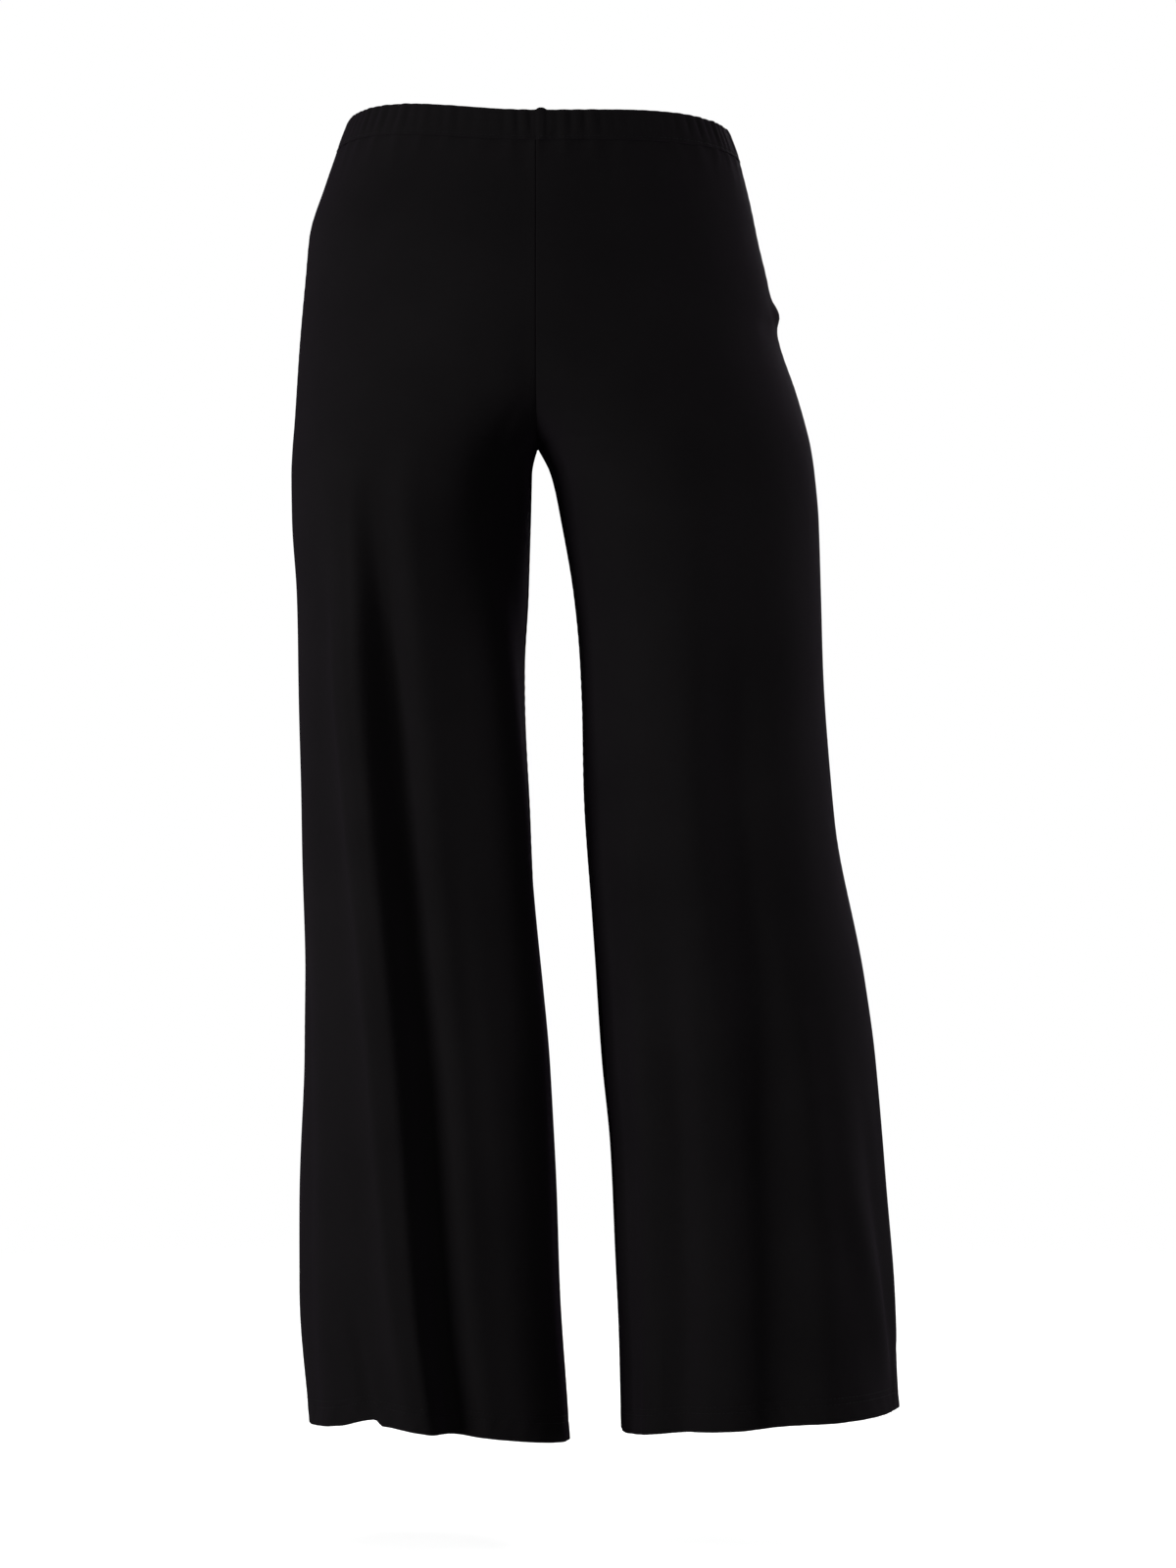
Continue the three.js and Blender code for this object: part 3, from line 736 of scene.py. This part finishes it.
def on_line(line, along, places):
    """The points of a line that are at some distances along it."""
    return np.stack([np.interp(places, along, line[:, axis]) for axis in range(3)], -1)


def stitches(name, lines):
    """Rows of short stitches along lines of points, each an arched grain of thread, joined into one mesh."""
    centres, runs, outs = [], [], []
    for line, middle in lines:
        along = lengths(line)
        count = int(along[-1] // STITCH_PITCH)
        places = (np.arange(count) + 0.5) * along[-1] / count
        spots = on_line(line, along, places)
        run = unit(on_line(line, along, places + STITCH_STEP) - on_line(line, along, places - STITCH_STEP))
        out = spots - middle(spots)
        out[:, 2] = 0
        centres.append(spots)
        runs.append(run)
        outs.append(unit(out - np.sum(out * run, -1, keepdims=True) * run))
    centre, run, out = (np.concatenate(parts) for parts in (centres, runs, outs))
    side = np.cross(run, out)
    turns = 2 * np.pi * np.arange(STITCH_SIDES) / STITCH_SIDES
    rings = []
    for along, size, height in STITCH_RINGS:
        spine = centre + run * STITCH_LENGTH * along + out * height
        for turn in turns:
            rings.append(spine + THREAD * size * (np.cos(turn) * out + np.sin(turn) * side))
    points = np.stack(rings, 1)
    each = points.shape[1]
    faces = []
    for ring in range(len(STITCH_RINGS) - 1):
        for k in range(STITCH_SIDES):
            a, b = ring * STITCH_SIDES + k, ring * STITCH_SIDES + (k + 1) % STITCH_SIDES
            faces.append((a, b, b + STITCH_SIDES, a + STITCH_SIDES))
    # Two faces of four corners close each end of a stitch.
    end = each - STITCH_SIDES
    faces += [(3, 2, 1, 0), (5, 4, 3, 0), (end, end + 1, end + 2, end + 3), (end, end + 3, end + 4, end + 5)]
    faces = np.array(faces)[None] + (np.arange(len(points)) * each)[:, None, None]
    return quad_mesh(name, points.reshape(-1, 3) * MM, faces.reshape(-1, 4))


def leg_middle(leg):
    """For points low on a leg, the middle of its hem, taken at their height."""
    def middle(points):
        drop = np.full(len(points), float(HEM_DROP))
        x = SIDE[leg] * (section(leg + "_outer", drop) + section(leg + "_inner", drop)) / 2
        return np.stack([x, np.zeros_like(x), points[:, 2]], -1)
    return middle


def waist_middle(points):
    return points * (0, 0, 1)


# Materials. Lengths are in metres, and a noise has its scale per metre and its detail.
WALE = 0.00062  # the width of one column of knit stitches
COURSE = 0.0005  # the height of one row of them
WALE_DRIFT = {"noise": (60, 2), "columns": 1.2}  # the columns wander by this many
LOOP_SHARE = 0.35  # the stitches of a column, next to the column itself
GRAIN = (1400, 3)
GRAIN_SHARE = 0.9
KNIT_BUMP = {"Strength": 0.35, "Distance": 0.0001}
SLACK = (38, 3)
SLACK_BUMP = {"Strength": 0.3, "Distance": 0.0009}
CLOUDS = (9, 5)
GRAIN_IN_DYE = 0.6
DYE_RANGE = {"From_Min": 0.5, "From_Max": 1.1}
DYE_DARK = (0.0042, 0.0039, 0.0041, 1)
DYE_LIGHT = (0.0062, 0.0057, 0.0060, 1)
JERSEY_ROUGHNESS = {"To_Min": 0.84, "To_Max": 0.94}
JERSEY_SHINE = {
    "Specular IOR Level": 0.01,
    "Sheen Weight": 0.016,
    "Sheen Roughness": 0.5,
    "Sheen Tint": (0.72, 0.42, 0.85, 1),
}
TWIST = 700  # the scale of the thread's twist
TWIST_BUMP = {"Strength": 0.5, "Distance": 0.00008}
THREAD_ROUGHNESS = {"To_Min": 0.5, "To_Max": 0.7}
THREAD_SHINE = {"Base Color": (0.005, 0.0047, 0.0054, 1), "Specular IOR Level": 0.06}


def add_node(tree, kind, settings=None, **inputs):
    """A shader node. Inputs are values, or the outputs that feed them. in0 is the first input, and so on."""
    node = tree.nodes.new(kind)
    for key, value in (settings or {}).items():
        setattr(node, key, value)
    for key, value in inputs.items():
        numbered = key.startswith("in") and key[2:].isdigit()
        socket = node.inputs[int(key[2:]) if numbered else key.replace("_", " ")]
        if isinstance(value, bpy.types.NodeSocket):
            tree.links.new(value, socket)
        else:
            socket.default_value = value
    return node


def math_node(tree, operation, a, b=0.0, c=0.0):
    return add_node(tree, "ShaderNodeMath", {"operation": operation}, in0=a, in1=b, in2=c).outputs[0]


def noise(tree, place, scale_and_detail):
    scale, detail = scale_and_detail
    node = add_node(
        tree, "ShaderNodeTexNoise", {"noise_dimensions": "3D"}, Vector=place, Scale=scale, Detail=detail
    )
    return node.outputs["Fac"]


def new_material(name, values):
    """A material with a Principled shader, and the values of that shader's own sockets."""
    material = bpy.data.materials.new(name)
    material.use_nodes = True
    shader = material.node_tree.nodes["Principled BSDF"]
    for socket, value in values.items():
        shader.inputs[socket].default_value = value
    return material, material.node_tree, shader


def jersey_material():
    """Black knit: fine columns of V-shaped stitches, an uneven dye, and a faint sheen at grazing angles."""
    material, tree, shader = new_material("black_jersey", JERSEY_SHINE)
    cut = add_node(tree, "ShaderNodeUVMap", {"uv_map": "cut"}).outputs["UV"]
    place = add_node(tree, "ShaderNodeTexCoord").outputs["Object"]
    spot = add_node(tree, "ShaderNodeSeparateXYZ", Vector=cut)
    drift = math_node(tree, "MULTIPLY", noise(tree, place, WALE_DRIFT["noise"]), WALE_DRIFT["columns"])
    wale = math_node(tree, "ADD", math_node(tree, "DIVIDE", spot.outputs["X"], WALE), drift)
    in_wale = math_node(tree, "ABSOLUTE", math_node(tree, "SUBTRACT", math_node(tree, "FRACT", wale), 0.5))
    row = math_node(tree, "ADD", math_node(tree, "DIVIDE", spot.outputs["Y"], COURSE), in_wale)
    loop = math_node(tree, "SINE", math_node(tree, "MULTIPLY", row, 2 * np.pi))
    rib = math_node(tree, "SINE", math_node(tree, "MULTIPLY", in_wale, 2 * np.pi))
    knit = math_node(tree, "MULTIPLY_ADD", loop, LOOP_SHARE, rib)
    grain = noise(tree, place, GRAIN)
    knit = math_node(tree, "MULTIPLY_ADD", grain, GRAIN_SHARE, knit)
    knitted = add_node(tree, "ShaderNodeBump", Height=knit, **KNIT_BUMP).outputs["Normal"]
    slack = noise(tree, place, SLACK)
    slackened = add_node(tree, "ShaderNodeBump", Height=slack, Normal=knitted, **SLACK_BUMP).outputs["Normal"]
    tree.links.new(slackened, shader.inputs["Normal"])
    clouds = noise(tree, place, CLOUDS)
    mottled = math_node(tree, "MULTIPLY_ADD", grain, GRAIN_IN_DYE, clouds)
    amount = add_node(tree, "ShaderNodeMapRange", Value=mottled, **DYE_RANGE).outputs[0]
    # A mix node of colours has its factor first, its colours as inputs 6 and 7, and its result as output 2.
    mixed = add_node(tree, "ShaderNodeMix", {"data_type": "RGBA"}, in0=amount, in6=DYE_DARK, in7=DYE_LIGHT)
    tree.links.new(mixed.outputs[2], shader.inputs["Base Color"])
    rough = add_node(tree, "ShaderNodeMapRange", Value=clouds, **JERSEY_ROUGHNESS).outputs[0]
    tree.links.new(rough, shader.inputs["Roughness"])
    return material


def thread_material():
    """Black polyester thread, twisted, a little shinier than the cloth."""
    material, tree, shader = new_material("black_thread", THREAD_SHINE)
    place = add_node(tree, "ShaderNodeTexCoord").outputs["Object"]
    settings = {"bands_direction": "DIAGONAL"}
    twist = add_node(tree, "ShaderNodeTexWave", settings, Vector=place, Scale=TWIST).outputs["Fac"]
    bump = add_node(tree, "ShaderNodeBump", Height=twist, **TWIST_BUMP).outputs["Normal"]
    tree.links.new(bump, shader.inputs["Normal"])
    tone = add_node(tree, "ShaderNodeMapRange", Value=twist, **THREAD_ROUGHNESS).outputs[0]
    tree.links.new(tone, shader.inputs["Roughness"])
    return material


jersey = jersey_material()
thread = thread_material()

# The pieces.
band, band_line = waistband()
band.data.materials.append(jersey)
band_row = stitches("waistband_stitches", [(band_line, waist_middle)])
hem_rows = {}
panels = {}
FIRST_HEM_ROW = ROWS_ABOVE + ROWS_BELOW - 1
for leg in ("left", "right"):
    for face in ("back", "front"):
        cloth, outer = panel(leg, face)
        cloth.data.materials.append(jersey)
        panels[face, leg] = cloth
        lines = []
        for distance in HEM_STITCHES:
            row = FIRST_HEM_ROW + list(FINE_HEM[1:]).index(distance)
            lines.append((outer[row, EDGE_COLUMNS:-EDGE_COLUMNS], leg_middle(leg)))
        hem_rows[face, leg] = stitches(f"hem_stitches_{face}_{leg}", lines)

# Every piece is in the one body. Each cloth stands for the solid of its name, and its stitches lie on it.
SHEETS = {  # what shows of each cut, flat: width, length and area
    ("back", "left"): (0.415, 1.05, 0.38),
    ("back", "right"): (0.405, 1.05, 0.37),
    ("front", "left"): (0.41, 1.05, 0.365),
    ("front", "right"): (0.42, 1.05, 0.374),
}
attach(band, "root")
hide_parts("waistband")
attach(band_row, "root")
band_row.data.materials.append(thread)
for (face, leg), cloth in panels.items():
    row = hem_rows[face, leg]
    width, length, area = SHEETS[face, leg]
    row.data.materials.append(thread)
    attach(cloth, "root")
    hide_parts(f"{face}_{leg}")
    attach(row, "root")

# The floor, the backdrop, the light and the camera.
FLOOR = -1.142
FLOOR_REACH = 7
FLOOR_WHITE = 0.6
FLOOR_GLOW = 0.72  # as if lit from all round, so that the shadows on it stay light
FLOOR_FADE = (0.9, 2.4)  # from here to there the floor fades into the backdrop
FLOOR_ROUGHNESS = 0.9
FLOOR_SEGMENTS = 96
BACKDROP_RADIUS = 14
BACKDROP_SEGMENTS = 64
WORLD_STRENGTH = 0.14
LAMPS = (  # name, place, aim, width, height, power
    ("soft_light_back", (2.25, 1.83, -0.5), (0, 0, -0.65), 1.1, 1.8, 91),
    ("soft_light_left", (2.41, -0.65, -0.35), (0.05, 0, -0.6), 0.8, 2.0, 20),
    ("soft_light_right", (-2.56, -0.45, -0.6), (-0.1, 0, -0.65), 0.8, 1.6, 60),
    ("soft_light_front", (-0.7, -2.5, 1.3), (0, 0, -0.6), 1.4, 1.0, 66),
    ("soft_light_fill", (-1.5, 2.7, -0.7), (0, 0, -0.7), 1.2, 1.8, 17),
    ("soft_light_above", (0, 0.2, 3.0), (0, 0, -0.6), 2.6, 2.6, 40),
)
CAMERA_PLACE = (-0.0415, 3.7, -0.526)
CAMERA_REACH = 60
LENS = 103.4
SENSOR = 36
WHITE = (1, 1, 1, 1)


def stage_piece(name, grid_call, material, **settings):
    """A floor or backdrop from one of Blender's own simple meshes."""
    grid = bmesh.new()
    grid_call(grid, **settings)
    mesh = bpy.data.meshes.new(name)
    grid.to_mesh(mesh)
    grid.free()
    mesh.materials.append(material)
    piece = bpy.data.objects.new(name, mesh)
    bpy.context.scene.collection.objects.link(piece)
    return piece


def floor_material():
    """Pale and matt near the middle, and clear where the backdrop takes over."""
    material, tree, shader = new_material("pale_floor", {
        "Base Color": (FLOOR_WHITE, FLOOR_WHITE, FLOOR_WHITE, 1),
        "Emission Color": WHITE,
        "Emission Strength": FLOOR_GLOW,
        "Roughness": FLOOR_ROUGHNESS,
        "Specular IOR Level": 0,
    })
    place = add_node(tree, "ShaderNodeTexCoord").outputs["Object"]
    far = add_node(tree, "ShaderNodeVectorMath", {"operation": "LENGTH"}, Vector=place).outputs["Value"]
    near = add_node(
        tree, "ShaderNodeMapRange", {"interpolation_type": "SMOOTHSTEP"},
        Value=far, From_Min=FLOOR_FADE[0], From_Max=FLOOR_FADE[1], To_Min=1, To_Max=0,
    )
    tree.links.new(near.outputs[0], shader.inputs["Alpha"])
    return material


def backdrop_material():
    values = {
        "Base Color": (0, 0, 0, 1),
        "Specular IOR Level": 0,
        "Emission Color": WHITE,
        "Emission Strength": 1,
    }
    return new_material("white_backdrop", values)[0]


floor = stage_piece(
    "floor", bmesh.ops.create_circle, floor_material(),
    cap_ends=True, segments=FLOOR_SEGMENTS, radius=FLOOR_REACH,
)
floor.location.z = FLOOR
floor.visible_diffuse = False
floor.visible_glossy = False
backdrop = stage_piece(
    "backdrop", bmesh.ops.create_uvsphere, backdrop_material(),
    u_segments=BACKDROP_SEGMENTS, v_segments=BACKDROP_SEGMENTS // 2, radius=BACKDROP_RADIUS,
)
backdrop.visible_diffuse = False
backdrop.visible_glossy = False
backdrop.visible_transmission = False
backdrop.visible_shadow = False

world = bpy.data.worlds.new("studio")
world.use_nodes = True
world.node_tree.nodes["Background"].inputs["Color"].default_value = WHITE
world.node_tree.nodes["Background"].inputs["Strength"].default_value = WORLD_STRENGTH
bpy.context.scene.world = world


def aimed(thing, place, aim):
    """Puts a lamp or a camera at a place, looking at the aim."""
    thing.location = place
    thing.rotation_euler = (Vector(aim) - Vector(place)).to_track_quat("-Z", "Y").to_euler()
    bpy.context.scene.collection.objects.link(thing)


for name, place, aim, width, height, power in LAMPS:
    lamp = bpy.data.lights.new(name, "AREA")
    lamp.shape = "RECTANGLE"
    lamp.size, lamp.size_y = width, height
    lamp.energy = power
    fitting = bpy.data.objects.new(name, lamp)
    fitting.visible_camera = False
    aimed(fitting, place, aim)

lens = bpy.data.cameras.new("camera")
lens.lens, lens.sensor_width = LENS, SENSOR
lens.clip_end = CAMERA_REACH
camera = bpy.data.objects.new("camera", lens)
aimed(camera, CAMERA_PLACE, (CAMERA_PLACE[0], 0, CAMERA_PLACE[2]))
bpy.context.scene.camera = camera
bpy.context.scene.view_settings.view_transform = "Standard"
